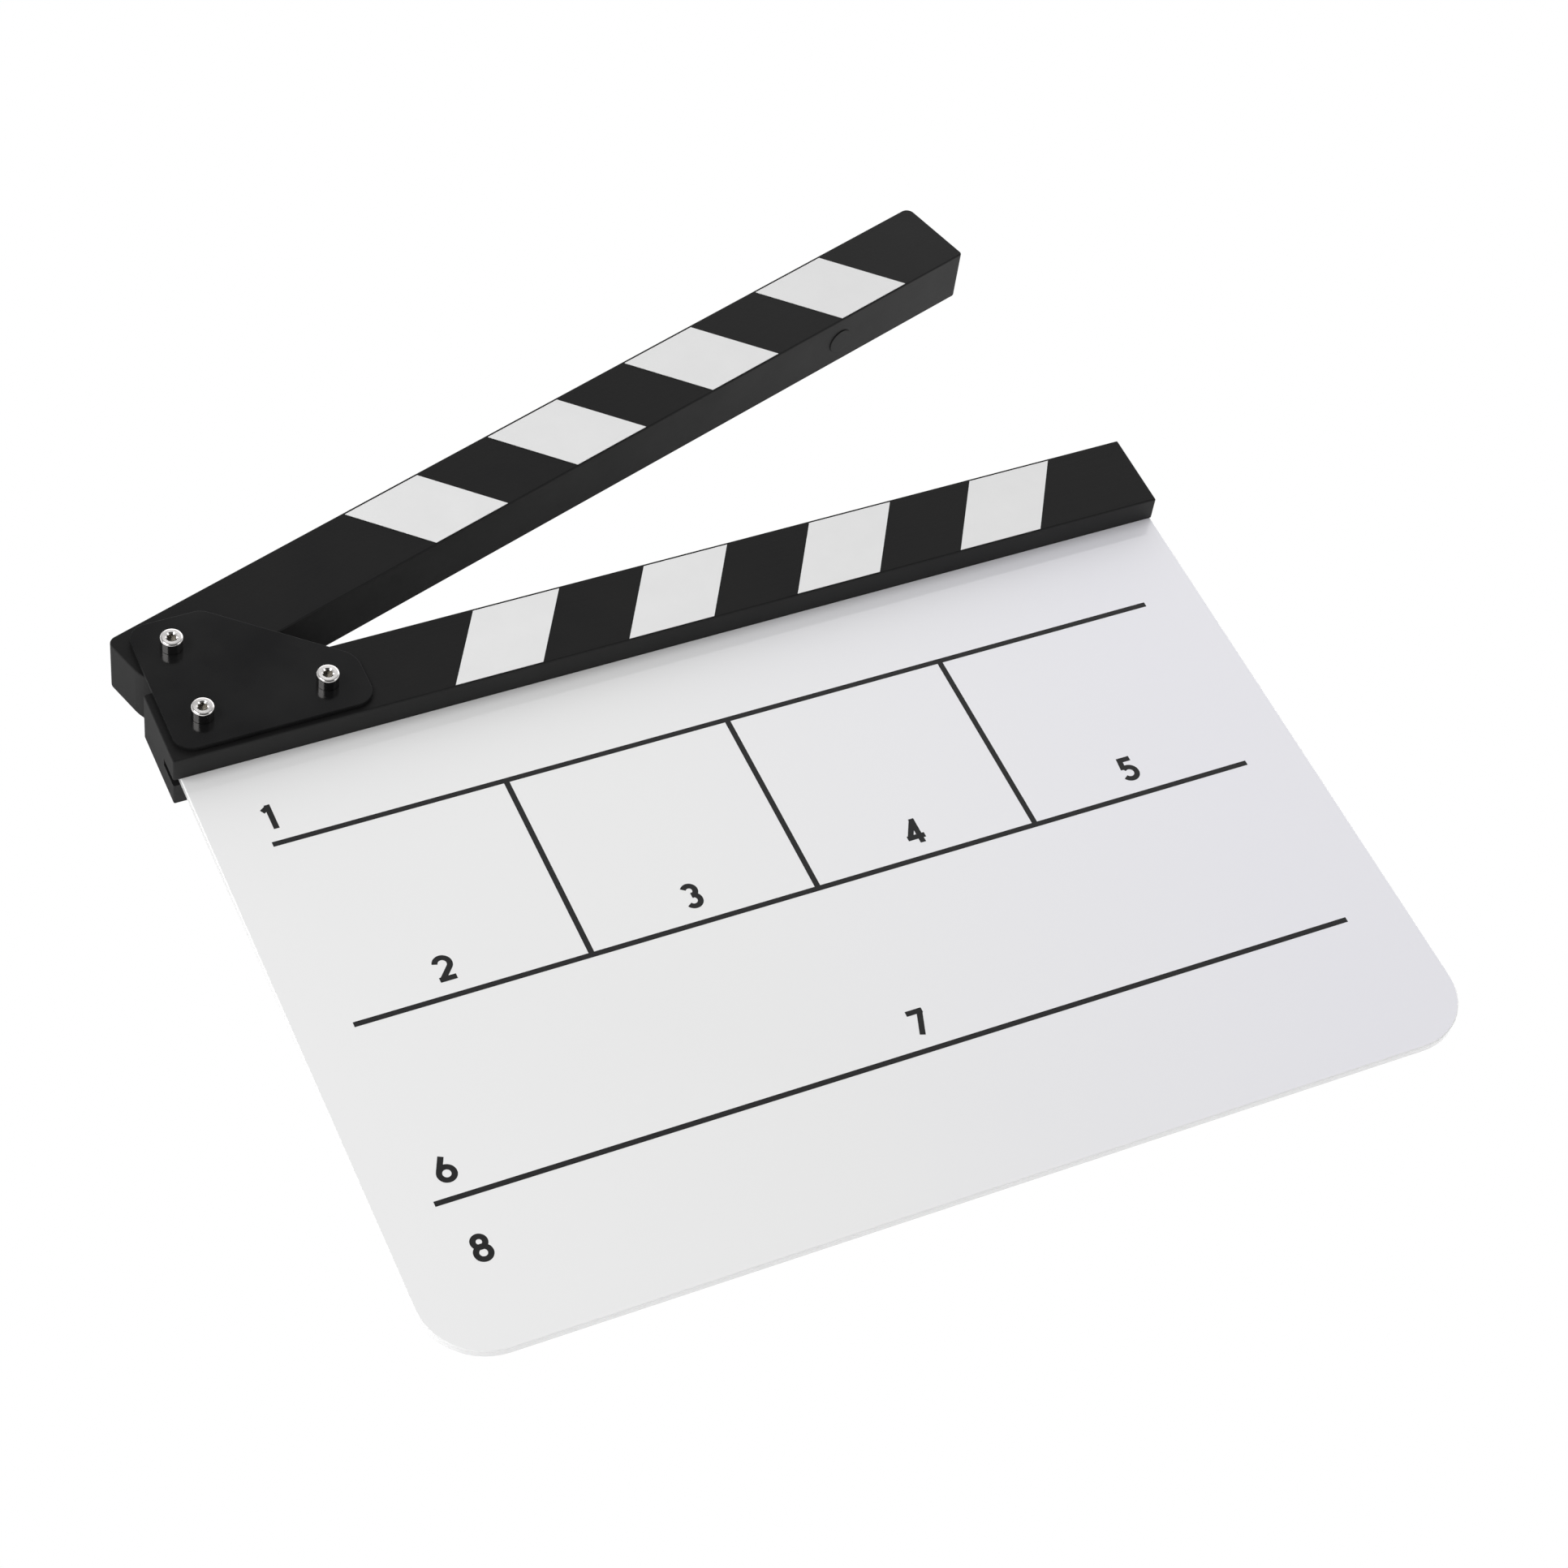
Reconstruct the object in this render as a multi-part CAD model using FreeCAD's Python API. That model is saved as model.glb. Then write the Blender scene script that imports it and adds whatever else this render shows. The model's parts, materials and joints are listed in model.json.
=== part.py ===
import FreeCAD, Part
import math
import os

# Clapperboard: a slotted lower stick holds a writing board, and a clapper stick turns on a pivot screw
# between two hinge plates. Millimetres. X runs along the lower stick from the hinge end, Y runs up the
# board and Z is the way the writing face looks. The layout below starts at the hinge end of the lower
# stick, at the board's lower edge and at mid thickness; the last step moves it onto its footprint.

# Sticks
STICK_LENGTH = 300.0
STICK_WIDTH = 25.0
STICK_THICKNESS = 18.0
STICK_EDGE_ROUND = 0.5
STICK_TOP_CORNER_RADIUS = 2.6
STICK_NOSE_RADIUS = 1.2
OPEN_ANGLE = 17.2
CLOSED_GAP = 0.8

# Writing board
BOARD_SHOWN_HEIGHT = 194.1
BOARD_THICKNESS = 2.4
BOARD_CORNER_RADIUS = 18.4
BOARD_EDGE_CHAMFER = 0.3
BOARD_INSET_HINGE_END = 1.9
BOARD_INSET_FREE_END = 0.4
SLOT_DEPTH = 8.0
SLOT_SIDE_CLEARANCE = 0.05
SLOT_END_CLEARANCE = 0.2

# Hinge plates
PLATE_THICKNESS = 1.4
PLATE_HINGE_END_MARGIN = 10.1
PLATE_FREE_END_MARGIN = 10.8
PLATE_TOP_MARGIN = 10.05
PLATE_BOTTOM_MARGIN = 10.25
PLATE_TOP_RUN = 11.7
PLATE_SIDE_RISE = 6.85
PLATE_CORNER_RADIUS = 5.5
PLATE_SHOULDER_RADIUS = 8.0
PLATE_EDGE_ROUND = 0.25
FIXING_SPACING = 35.6
FIXING_RISE = 11.85

# Cap screws
SCREW_DIAMETER = 4.0
SCREW_TIP_PROUD = 1.0
SCREW_TIP_CHAMFER = 0.5
SCREW_HOLE_CLEARANCE = 0.15
THREAD_PITCH = 0.7
THREAD_DEPTH = 0.4
THREAD_TURNS = 6
HEAD_DIAMETER = 6.4
HEAD_HEIGHT = 4.0
HEAD_EDGE_ROUND = 0.6
HEAD_FOOT_CHAMFER = 0.12
SOCKET_ACROSS_FLATS = 2.5
SOCKET_TURN = 15.0
SOCKET_DEPTH = 2.0
SOCKET_LEAD_IN = 0.3
SOCKET_LEAD_IN_ANGLE = 40.0

# Nuts and plain washers
NUT_ACROSS_FLATS = 7.0
NUT_HEIGHT = 3.2
NUT_CHAMFER = 0.45
NUT_CHAMFER_ANGLE = 30.0
NUT_BORE_CLEARANCE = 0.05
LOCKNUT_HEIGHT = 5.0
LOCKNUT_COLLAR_HEIGHT = 1.9
LOCKNUT_COLLAR_LIP = 0.35
LOCKNUT_RING_WALL = 0.8
LOCKNUT_RING_CLEARANCE = 0.02
WASHER_DIAMETER = 9.0
WASHER_THICKNESS = 0.8
WASHER_EDGE_ROUND = 0.15

# Pivot: its distance from the stick's hinge end and from the clapper's clap face
PIVOT_INSET = 12.4
PIVOT_RISE = 11.85
BUSH_WALL = 1.0
BUSH_FIT = 0.02
PIVOT_RUNNING_CLEARANCE = 0.05
BUSH_END_PLAY = 0.05
STICK_SIDE_PLAY = 0.15

# Magnets in the clap faces: they stand a little proud, and all but meet when the clapper is shut
MAGNET_DIAMETER = 8.0
MAGNET_HEIGHT = 3.0
MAGNET_EDGE_ROUND = 0.15
MAGNET_PROUD = 0.35
MAGNET_FIT = 0.05
MAGNET_FROM_FREE_END = 49.8

# White stripes: equal bands and gaps between a plain length at each end
STRIPE_COUNT = 4
STRIPE_PLAIN_HINGE_END = 95.2
STRIPE_PLAIN_FREE_END = 23.8
STRIPE_LEAN = 14.3
STRIPE_TOP_INSET = 0.4
STRIPE_THICKNESS = 0.15

# How far a cutting tool runs past the face that it starts from
OVERRUN = 1.0

# Levels and places that follow from the sizes above
FRONT_FACE = STICK_THICKNESS / 2
UPPER_FRONT_FACE = FRONT_FACE - STICK_SIDE_PLAY
PLATE_FRONT = FRONT_FACE + PLATE_THICKNESS
LOWER_BOTTOM = BOARD_SHOWN_HEIGHT
LOWER_TOP = LOWER_BOTTOM + STICK_WIDTH
UPPER_BOTTOM = LOWER_TOP + CLOSED_GAP
UPPER_TOP = UPPER_BOTTOM + STICK_WIDTH
PIVOT_X = PIVOT_INSET
PIVOT_Y = UPPER_BOTTOM + PIVOT_RISE
FIXING_Y = LOWER_BOTTOM + FIXING_RISE
FIXING_PLACES = [(PIVOT_X, FIXING_Y), (PIVOT_X + FIXING_SPACING, FIXING_Y)]
SCREW_PLACES = [(PIVOT_X, PIVOT_Y)] + FIXING_PLACES
SCREW_RADIUS = SCREW_DIAMETER / 2
SCREW_HOLE_RADIUS = SCREW_RADIUS + SCREW_HOLE_CLEARANCE
SCREW_TIP = -PLATE_FRONT - WASHER_THICKNESS - NUT_HEIGHT - SCREW_TIP_PROUD
MAGNET_X = STICK_LENGTH - MAGNET_FROM_FREE_END
STRIPED_LENGTH = STICK_LENGTH - STRIPE_PLAIN_HINGE_END - STRIPE_PLAIN_FREE_END
STRIPE_WIDTH = STRIPED_LENGTH / (2 * STRIPE_COUNT - 1)

FRONT = FreeCAD.Vector(0, 0, 1)
UP = FreeCAD.Vector(0, 1, 0)


def vector(x, y, z=0):
    return FreeCAD.Vector(x, y, z)


def cylinder(x, y, low, high, radius):
    return Part.makeCylinder(radius, high - low, vector(x, y, low), FRONT)


def prism(outline, low, high):
    """The outline, a face drawn at level zero, as a solid from one level to another."""
    solid = outline.extrude(vector(0, 0, high - low))
    solid.translate(vector(0, 0, low))
    return solid


def polygon(points):
    corners = [vector(x, y) for x, y in points]
    return Part.Face(Part.makePolygon(corners + corners[:1]))


def rounded_polygon(corners):
    """A face from (x, y, radius) corners in order: a corner is an arc of its radius, or sharp at zero."""
    bends = []
    for i, (x, y, radius) in enumerate(corners):
        here = vector(x, y)
        before = vector(*corners[i - 1][:2]) - here
        after = vector(*corners[(i + 1) % len(corners)][:2]) - here
        half_angle = before.getAngle(after) / 2
        reach = radius / math.tan(half_angle)
        bisector = (before.normalize() + after.normalize()).normalize()
        middle = here + bisector * (radius / math.sin(half_angle) - radius)
        bends.append((here + before * reach, middle, here + after * reach))
    edges = []
    for i, (start, middle, end) in enumerate(bends):
        last_end = bends[i - 1][2]
        if not last_end.isEqual(start, Part.Precision.confusion()):
            edges.append(Part.LineSegment(last_end, start).toShape())
        if not start.isEqual(end, Part.Precision.confusion()):
            edges.append(Part.Arc(start, middle, end).toShape())
    return Part.Face(Part.Wire(edges))


def rim_edges(solid, levels):
    """The edges whose ends all lie at one of the levels."""
    found = []
    for level in levels:
        for edge in solid.Edges:
            if all(abs(end.Z - level) < Part.Precision.confusion() for end in edge.Vertexes):
                found.append(edge)
    return found


def screw_holes(places, low, high):
    return [cylinder(x, y, low - OVERRUN, high + OVERRUN, SCREW_HOLE_RADIUS) for x, y in places]


def magnet_disc(face_y, inward, radius, depth_from, depth_to):
    """A disc at the magnets' place, between two depths under a clap face."""
    start = vector(MAGNET_X, face_y + inward * depth_from, 0)
    return Part.makeCylinder(radius, depth_to - depth_from, start, UP * inward)


def magnet(face_y, inward):
    disc = magnet_disc(face_y, inward, MAGNET_DIAMETER / 2, -MAGNET_PROUD, MAGNET_HEIGHT - MAGNET_PROUD)
    rims = [edge for edge in disc.Edges if isinstance(edge.Curve, Part.Circle)]
    return disc.makeFillet(MAGNET_EDGE_ROUND, rims)


def magnet_pocket(face_y, inward):
    return magnet_disc(face_y, inward, MAGNET_DIAMETER / 2 + MAGNET_FIT, -OVERRUN, MAGNET_HEIGHT - MAGNET_PROUD)


def writing_board():
    left = BOARD_INSET_HINGE_END
    right = STICK_LENGTH - BOARD_INSET_FREE_END
    top = LOWER_BOTTOM + SLOT_DEPTH - SLOT_END_CLEARANCE
    half = BOARD_THICKNESS / 2
    sheet = prism(rounded_polygon([
        (left, 0, BOARD_CORNER_RADIUS),
        (right, 0, BOARD_CORNER_RADIUS),
        (right, top, 0),
        (left, top, 0),
    ]), -half, half)
    sheet = sheet.makeChamfer(BOARD_EDGE_CHAMFER, rim_edges(sheet, (-half, half)))
    return sheet.cut(screw_holes(FIXING_PLACES, -half, half))


def lower_stick():
    bar = Part.makeBox(STICK_LENGTH, STICK_WIDTH, STICK_THICKNESS, vector(0, LOWER_BOTTOM, -FRONT_FACE))
    bar = bar.makeFillet(STICK_EDGE_ROUND, bar.Edges)
    slot_width = BOARD_THICKNESS + 2 * SLOT_SIDE_CLEARANCE
    slot = Part.makeBox(
        STICK_LENGTH + 2 * OVERRUN,
        SLOT_DEPTH + OVERRUN,
        slot_width,
        vector(-OVERRUN, LOWER_BOTTOM - OVERRUN, -slot_width / 2),
    )
    holes = screw_holes(FIXING_PLACES, -FRONT_FACE, FRONT_FACE)
    return bar.cut([slot, magnet_pocket(LOWER_TOP, -1)] + holes)


def upper_stick():
    """The clapper stick, drawn closed: a bar whose lower hinge corner is a round heel about the pivot."""
    bar = prism(rounded_polygon([
        (0, UPPER_BOTTOM, PIVOT_RISE),
        (STICK_LENGTH, UPPER_BOTTOM, STICK_NOSE_RADIUS),
        (STICK_LENGTH, UPPER_TOP, STICK_TOP_CORNER_RADIUS),
        (0, UPPER_TOP, STICK_TOP_CORNER_RADIUS),
    ]), -UPPER_FRONT_FACE, UPPER_FRONT_FACE)
    bar = bar.makeFillet(STICK_EDGE_ROUND, rim_edges(bar, (-UPPER_FRONT_FACE, UPPER_FRONT_FACE)))
    bore_radius = SCREW_RADIUS + PIVOT_RUNNING_CLEARANCE + BUSH_WALL + BUSH_FIT
    bore = cylinder(PIVOT_X, PIVOT_Y, -FRONT_FACE - OVERRUN, FRONT_FACE + OVERRUN, bore_radius)
    return bar.cut([bore, magnet_pocket(UPPER_BOTTOM, 1)])


def hinge_plate():
    """The front plate: one edge stands over both sticks and the other runs down to the far fixing screw."""
    left = PIVOT_X - PLATE_HINGE_END_MARGIN
    right = PIVOT_X + FIXING_SPACING + PLATE_FREE_END_MARGIN
    bottom = FIXING_Y - PLATE_BOTTOM_MARGIN
    top = PIVOT_Y + PLATE_TOP_MARGIN
    plate = prism(rounded_polygon([
        (left, bottom, PLATE_CORNER_RADIUS),
        (right, bottom, PLATE_CORNER_RADIUS),
        (right, FIXING_Y + PLATE_SIDE_RISE, PLATE_SHOULDER_RADIUS),
        (PIVOT_X + PLATE_TOP_RUN, top, PLATE_CORNER_RADIUS),
        (left, top, PLATE_CORNER_RADIUS),
    ]), FRONT_FACE, PLATE_FRONT)
    plate = plate.makeFillet(PLATE_EDGE_ROUND, rim_edges(plate, (PLATE_FRONT,)))
    return plate.cut(screw_holes(SCREW_PLACES, FRONT_FACE, PLATE_FRONT))


def rear_plate():
    return hinge_plate().mirror(vector(0, 0), FRONT)


def hexagon(x, y, across_flats, turn_from_stick=0):
    """A hexagon with a corner along the stick, or turned from it by an angle in degrees."""
    corner_radius = across_flats / math.sqrt(3)
    points = []
    for turn in range(6):
        angle = math.radians(60 * turn + turn_from_stick)
        points.append((x + corner_radius * math.cos(angle), y + corner_radius * math.sin(angle)))
    return polygon(points)


def turned(x, y, profile):
    """A solid of revolution about a line along Z from (radius, level) points."""
    corners = [vector(radius, 0, level) for radius, level in profile]
    face = Part.Face(Part.makePolygon(corners + corners[:1]))
    solid = face.revolve(vector(0, 0), FRONT, 360)
    solid.translate(vector(x, y))
    return solid


def cap_screw(x, y):
    """Round head with a hexagon socket, a plain shank, and thread grooves up to a chamfered tip."""
    root_radius = SCREW_RADIUS - THREAD_DEPTH
    profile = [(0, PLATE_FRONT), (SCREW_RADIUS, PLATE_FRONT)]
    level = SCREW_TIP + SCREW_TIP_CHAMFER + THREAD_TURNS * THREAD_PITCH
    for turn in range(THREAD_TURNS):
        profile.append((SCREW_RADIUS, level))
        profile.append((root_radius, level - THREAD_PITCH / 2))
        level = level - THREAD_PITCH
    profile = profile + [(SCREW_RADIUS, level), (SCREW_RADIUS - SCREW_TIP_CHAMFER, SCREW_TIP), (0, SCREW_TIP)]
    shank = turned(x, y, profile)
    top = PLATE_FRONT + HEAD_HEIGHT
    head = cylinder(x, y, PLATE_FRONT, top, HEAD_DIAMETER / 2)
    head = head.makeFillet(HEAD_EDGE_ROUND, rim_edges(head, (top,)))
    head = head.makeChamfer(HEAD_FOOT_CHAMFER, rim_edges(head, (PLATE_FRONT,)))
    socket_floor = top - SOCKET_DEPTH
    socket = prism(hexagon(x, y, SOCKET_ACROSS_FLATS, SOCKET_TURN), socket_floor, top + OVERRUN)
    mouth_radius = SOCKET_ACROSS_FLATS / math.sqrt(3) + SOCKET_LEAD_IN
    foot_radius = SOCKET_ACROSS_FLATS / 2
    foot = top - (mouth_radius - foot_radius) * math.tan(math.radians(SOCKET_LEAD_IN_ANGLE))
    lead_in = turned(x, y, [(0, foot), (foot_radius, foot), (mouth_radius, top), (0, top)])
    return head.fuse(shank).cut([socket, lead_in]).removeSplitter()


def nut_body(x, y, bearing_level, height):
    """A hexagon nut with turned chamfers, from its bearing face backwards."""
    end_level = bearing_level - height
    body = prism(hexagon(x, y, NUT_ACROSS_FLATS), end_level, bearing_level)
    corner_radius = NUT_ACROSS_FLATS / math.sqrt(3)
    face_radius = corner_radius - NUT_CHAMFER / math.tan(math.radians(NUT_CHAMFER_ANGLE))
    outside = turned(x, y, [
        (0, end_level),
        (face_radius, end_level),
        (corner_radius, end_level + NUT_CHAMFER),
        (corner_radius, bearing_level - NUT_CHAMFER),
        (face_radius, bearing_level),
        (0, bearing_level),
    ])
    bore = cylinder(x, y, end_level - OVERRUN, bearing_level + OVERRUN, SCREW_RADIUS + NUT_BORE_CLEARANCE)
    return body.common(outside).cut(bore)


def fixing_nut(x, y):
    return nut_body(x, y, -PLATE_FRONT - WASHER_THICKNESS, NUT_HEIGHT)


def locknut(x, y):
    """A hexagon nut whose rear collar is rolled over a nylon ring."""
    collar_top = -PLATE_FRONT - LOCKNUT_HEIGHT + LOCKNUT_COLLAR_HEIGHT
    end_level = -PLATE_FRONT - LOCKNUT_HEIGHT
    collar_radius = NUT_ACROSS_FLATS / 2 - NUT_CHAMFER
    ring_radius = SCREW_RADIUS + NUT_BORE_CLEARANCE + LOCKNUT_RING_WALL + LOCKNUT_RING_CLEARANCE
    collar = cylinder(x, y, end_level, collar_top, collar_radius)
    collar = collar.makeFillet(NUT_CHAMFER, rim_edges(collar, (end_level,)))
    seat = cylinder(x, y, end_level + LOCKNUT_COLLAR_LIP, collar_top, ring_radius)
    mouth = cylinder(x, y, end_level - OVERRUN, collar_top, ring_radius - LOCKNUT_COLLAR_LIP)
    body = nut_body(x, y, -PLATE_FRONT, LOCKNUT_HEIGHT - LOCKNUT_COLLAR_HEIGHT)
    return body.fuse(collar.cut([seat, mouth])).removeSplitter()


def locknut_ring(x, y):
    collar_top = -PLATE_FRONT - LOCKNUT_HEIGHT + LOCKNUT_COLLAR_HEIGHT
    low = -PLATE_FRONT - LOCKNUT_HEIGHT + LOCKNUT_COLLAR_LIP
    bore_radius = SCREW_RADIUS + NUT_BORE_CLEARANCE
    ring = cylinder(x, y, low, collar_top, bore_radius + LOCKNUT_RING_WALL)
    return ring.cut(cylinder(x, y, low - OVERRUN, collar_top + OVERRUN, bore_radius))


def fixing_washer(x, y):
    high = -PLATE_FRONT
    low = high - WASHER_THICKNESS
    ring = cylinder(x, y, low, high, WASHER_DIAMETER / 2)
    ring = ring.makeFillet(WASHER_EDGE_ROUND, rim_edges(ring, (low, high)))
    return ring.cut(screw_holes([(x, y)], low, high))


def pivot_bush():
    """The bush stands just proud of the stick, so that it, not the paint, rubs on the plates."""
    end = FRONT_FACE - BUSH_END_PLAY
    bore_radius = SCREW_RADIUS + PIVOT_RUNNING_CLEARANCE
    tube = cylinder(PIVOT_X, PIVOT_Y, -end, end, bore_radius + BUSH_WALL)
    return tube.cut(cylinder(PIVOT_X, PIVOT_Y, -end - OVERRUN, end + OVERRUN, bore_radius))


def stripe(index, clap_edge, far_edge, face):
    """A leaning band on a stick's face, from its clap edge to its far edge."""
    start = STRIPE_PLAIN_HINGE_END + 2 * index * STRIPE_WIDTH
    end = start + STRIPE_WIDTH
    band = polygon([
        (start, clap_edge),
        (end, clap_edge),
        (end - STRIPE_LEAN, far_edge),
        (start - STRIPE_LEAN, far_edge),
    ])
    return prism(band, face, face + STRIPE_THICKNESS)


def fixed_pieces():
    pieces = {
        "writing_board": writing_board(),
        "lower_stick": lower_stick(),
        "front_hinge_plate": hinge_plate(),
        "rear_hinge_plate": rear_plate(),
        "pivot_screw": cap_screw(PIVOT_X, PIVOT_Y),
        "pivot_locknut": locknut(PIVOT_X, PIVOT_Y),
        "pivot_locknut_ring": locknut_ring(PIVOT_X, PIVOT_Y),
        "lower_magnet": magnet(LOWER_TOP, -1),
    }
    for number, (x, y) in enumerate(FIXING_PLACES, 1):
        pieces[f"fixing_screw_{number}"] = cap_screw(x, y)
        pieces[f"fixing_washer_{number}"] = fixing_washer(x, y)
        pieces[f"fixing_nut_{number}"] = fixing_nut(x, y)
    for index in range(STRIPE_COUNT):
        clap_edge = LOWER_TOP - STICK_EDGE_ROUND - STRIPE_TOP_INSET
        far_edge = LOWER_BOTTOM + STICK_EDGE_ROUND
        pieces[f"lower_stripe_{index + 1}"] = stripe(index, clap_edge, far_edge, FRONT_FACE)
    return pieces


def clapper_pieces():
    """The pieces that turn with the clapper, drawn closed and then opened about the pivot."""
    pieces = {
        "upper_stick": upper_stick(),
        "pivot_bush": pivot_bush(),
        "upper_magnet": magnet(UPPER_BOTTOM, 1),
    }
    for index in range(STRIPE_COUNT):
        clap_edge = UPPER_BOTTOM + STICK_EDGE_ROUND
        far_edge = UPPER_TOP - STICK_EDGE_ROUND - STRIPE_TOP_INSET
        pieces[f"upper_stripe_{index + 1}"] = stripe(index, clap_edge, far_edge, UPPER_FRONT_FACE)
    for shape in pieces.values():
        shape.rotate(vector(PIVOT_X, PIVOT_Y), FRONT, OPEN_ANGLE)
    return pieces


def write_parts():
    """Move the pieces so that the middle of their footprint, at the lowest level, is the origin."""
    os.makedirs("parts", exist_ok=True)
    pieces = {**fixed_pieces(), **clapper_pieces()}
    box = Part.makeCompound(list(pieces.values())).optimalBoundingBox(False)
    shift = vector(-box.Center.x, -box.Center.y, -box.ZMin)
    for node, shape in pieces.items():
        shape.translate(shift)
        shape.exportStep(f"parts/{node}.step")
        print(node, "solids", len(shape.Solids), "valid", shape.isValid(), "volume", round(shape.Volume, 2))
    print("layout origin", shift, "pivot", vector(PIVOT_X, PIVOT_Y) + shift)
    print("size", box.XLength, box.YLength, box.ZLength)


write_parts()
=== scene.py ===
import json
import math

import bmesh
import bpy
from mathutils import Matrix, Vector


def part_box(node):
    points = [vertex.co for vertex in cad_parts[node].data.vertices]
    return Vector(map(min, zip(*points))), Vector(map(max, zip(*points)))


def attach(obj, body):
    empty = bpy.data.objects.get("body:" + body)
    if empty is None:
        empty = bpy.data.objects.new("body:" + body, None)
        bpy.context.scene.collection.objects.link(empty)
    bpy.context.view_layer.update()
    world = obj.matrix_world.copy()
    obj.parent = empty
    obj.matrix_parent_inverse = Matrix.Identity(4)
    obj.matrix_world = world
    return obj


# Clapperboard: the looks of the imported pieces, the print on the writing board, the studio and the camera.
# Metres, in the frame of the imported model: X along the lower stick, Y up the board, Z out of its face.

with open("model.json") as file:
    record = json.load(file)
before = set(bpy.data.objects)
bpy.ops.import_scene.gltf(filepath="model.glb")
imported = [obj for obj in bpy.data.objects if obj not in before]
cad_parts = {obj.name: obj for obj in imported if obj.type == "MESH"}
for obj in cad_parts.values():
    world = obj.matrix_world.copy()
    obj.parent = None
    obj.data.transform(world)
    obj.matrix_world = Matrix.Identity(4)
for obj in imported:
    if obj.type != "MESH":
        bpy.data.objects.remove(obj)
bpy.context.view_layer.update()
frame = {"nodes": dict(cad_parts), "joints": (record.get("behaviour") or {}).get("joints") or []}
nodes = frame["nodes"]
MM = 0.001
UP = (0, 0, 1)
BLACK = (0, 0, 0, 1)
WHITE = (1, 1, 1, 1)

# Places that the pieces give
stick_low, stick_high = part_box("lower_stick")
board_low, board_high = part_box("writing_board")
open_angle = math.radians(-frame["joints"][0]["range_deg"][0])

# Print on the writing board, measured from the hinge end of the lower stick and the board's lower edge
INK_THICKNESS = 0.03 * MM
RULE_WIDTH = 1.6 * MM
RULE_START = 17.5 * MM
RULE_END = 282.1 * MM
RULE_RISES = [164.6 * MM, 102.55 * MM, 44.6 * MM]
DIVIDER_PLACES = [84.0 * MM, 149.75 * MM, 215.55 * MM]
PRINT_TILT = math.radians(-0.136)
DIGIT_HEIGHT = 8.4 * MM
STROKE_SHARE = 0.19
ARC_STEP = math.radians(8)
# Ends of a stroke that are nearer than this share of its width are one point
CLOSED_SHARE = 0.001
TOP_FIELD_RISE = 169.4 * MM
COLUMN_FIELD_RISE = 107.4 * MM
LOWER_FIELD_RISE = 49.3 * MM
LAST_FIELD_RISE = 24.6 * MM
# Each field's number, the left edge of the digit and the height of its foot
FIELDS = [
    ("1", 18.1 * MM, TOP_FIELD_RISE),
    ("2", 43.2 * MM, COLUMN_FIELD_RISE),
    ("3", 114.0 * MM, COLUMN_FIELD_RISE),
    ("4", 179.8 * MM, COLUMN_FIELD_RISE),
    ("5", 246.6 * MM, COLUMN_FIELD_RISE),
    ("6", 21.1 * MM, LOWER_FIELD_RISE),
    ("7", 154.1 * MM, LOWER_FIELD_RISE),
    ("8", 21.3 * MM, LAST_FIELD_RISE),
]

# In the finishes below, a size is that of a pattern's features and a depth is that of its bumps. A pair of
# roughnesses runs with the pattern. A pair of facings is where a change starts and ends: 1 is a face square
# to the direction asked about, 0 is one along it.

# Noise: its own roughness, and the middle range of its values, which is stretched
NOISE_ROUGHNESS = 0.55
NOISE_LOW = 0.3
NOISE_HIGH = 0.7

# Black paint on the sticks
PAINT_DARK = (0.005, 0.005, 0.0053)
PAINT_LIGHT = (0.009, 0.0088, 0.0087)
PAINT_SPECULAR = 0.12
PAINT_ROUGHNESSES = (0.48, 0.58)
PAINT_CLOUD_SIZE = 25 * MM
STIPPLE_SIZE = 0.7 * MM
STIPPLE_DEPTH = 0.025 * MM
GRAIN_SIZE = (60 * MM, 1.6 * MM, 1.6 * MM)
GRAIN_DETAIL = 4.0
GRAIN_DEPTH = 0.02 * MM
END_GRAIN_ROUGHNESS = 0.78
END_GRAIN_FACINGS = (0.5, 0.9)
# Painted sheen on the sides of the sticks: the grey that they are made lighter to
PAINTED_SIDE_SHEEN_TONE = (0.026, 0.026, 0.026)
PAINTED_SIDE_SHEEN_FACINGS = (0.6, 0.95)
# Painted light at a stick's free end: its grey, how far it runs in from the free end, and how strong it is
# there
PAINTED_END_LIGHT_TONE = (0.022, 0.022, 0.022)
PAINTED_END_LIGHT_LENGTH = 130 * MM
CLAPPER_PAINTED_END_LIGHT = 0.42
STICK_PAINTED_END_LIGHT = 0.05

# White sheet of the board
BOARD_TONE = (0.864, 0.864, 0.864)
# Painted shade of the sheet towards its free end, where less light reaches it: cooler and a little darker
PAINTED_SHADE_COOL_TONE = (0.842, 0.838, 0.881)
# Where the painted shade, cooler and a little darker, starts and where it is strongest, as shares of its
# length from the hinge end
PAINTED_SHADE_SHARES = (0.4, 0.9)
# Painted glow on the bevels, standing in for light seeping through the sheet
PAINTED_GLOW_BEVEL_TONE = (0.96, 0.96, 0.96)
PAINTED_GLOW_BEVEL_FACINGS = (0.8, 0.95)
# Painted shade on the cut edges of the sheet, which makes them greyer
PAINTED_SHADE_EDGE_TONE = (0.75, 0.75, 0.75)
PAINTED_SHADE_EDGE_FACINGS = (0.3, 0.6)
BOARD_IOR = 1.49
BOARD_ROUGHNESSES = (0.015, 0.04)
WIPE_SIZE = (60 * MM, 18 * MM, 18 * MM)
WIPE_TURN = math.radians(25)
WAVE_SIZE = 45 * MM
WAVE_DETAIL = 1.0
WAVE_DEPTH = 0.01 * MM

# Ink
INK_DARK = (0.008, 0.008, 0.009)
INK_LIGHT = (0.012, 0.012, 0.012)
INK_SPECULAR = 0.25
INK_ROUGHNESSES = (0.35, 0.5)
INK_CLOUD_SIZE = 1.5 * MM

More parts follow.
